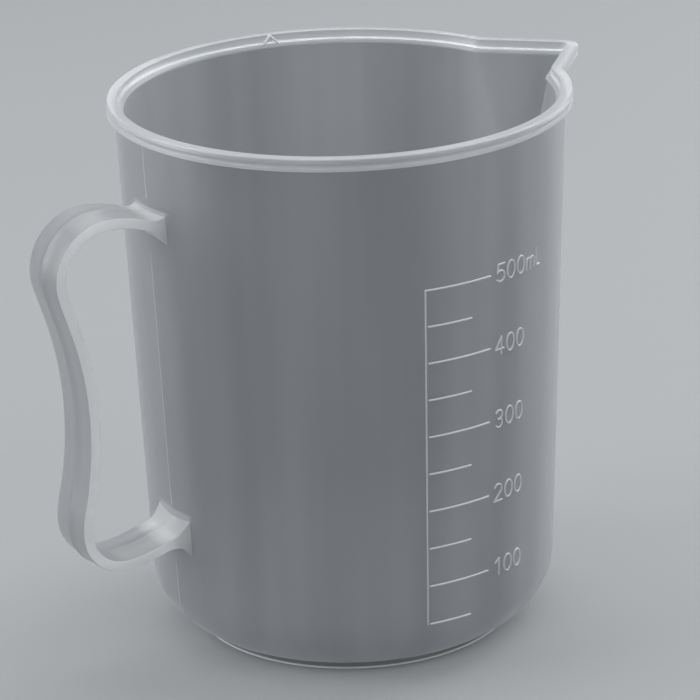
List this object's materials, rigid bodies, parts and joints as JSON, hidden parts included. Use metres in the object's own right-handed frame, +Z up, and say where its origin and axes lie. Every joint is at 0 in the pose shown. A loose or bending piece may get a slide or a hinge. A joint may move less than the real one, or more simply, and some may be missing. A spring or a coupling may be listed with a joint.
{
  "type": "graduated beaker",
  "caption": "Translucent moulded beaker with a tapered round body, V-shaped pouring spout, strap handle and raised volume scale.",
  "frame": {"origin": "on the vessel's axis, in the plane of the foot ring's lower face, on which the beaker stands", "axes": "+Z up along the vessel's axis; +X towards the pouring spout; the handle is at -X; the XZ plane is the mould's parting plane"},
  "size_m": [0.1325, 0.098, 0.118],
  "materials": {
    "moulding": "natural polypropylene, milky and translucent, smooth satin skin",
    "scale_marks": "the same natural polypropylene, raised fine lines and numerals"
  },
  "bodies": {
    "root": {"vessel_wall": "moulding", "base_floor": "moulding", "base_corner": "moulding", "foot_ring": "moulding", "rim_lip": "moulding", "pouring_spout": "moulding", "spout_lip": "moulding", "handle_strap": "moulding", "handle_upper_root": "moulding", "handle_lower_root": "moulding", "rim_lug": "moulding", "gate_mark": "moulding", "parting_line_handle_side": "moulding", "parting_line_spout_side": "moulding", "scale_line": "scale_marks", "tick_050": "scale_marks", "tick_100": "scale_marks", "tick_150": "scale_marks", "tick_200": "scale_marks", "tick_250": "scale_marks", "tick_300": "scale_marks", "tick_350": "scale_marks", "tick_400": "scale_marks", "tick_450": "scale_marks", "tick_500": "scale_marks", "numeral_100": "scale_marks", "numeral_200": "scale_marks", "numeral_300": "scale_marks", "numeral_400": "scale_marks", "numeral_500": "scale_marks"}
  },
  "joints": []
}
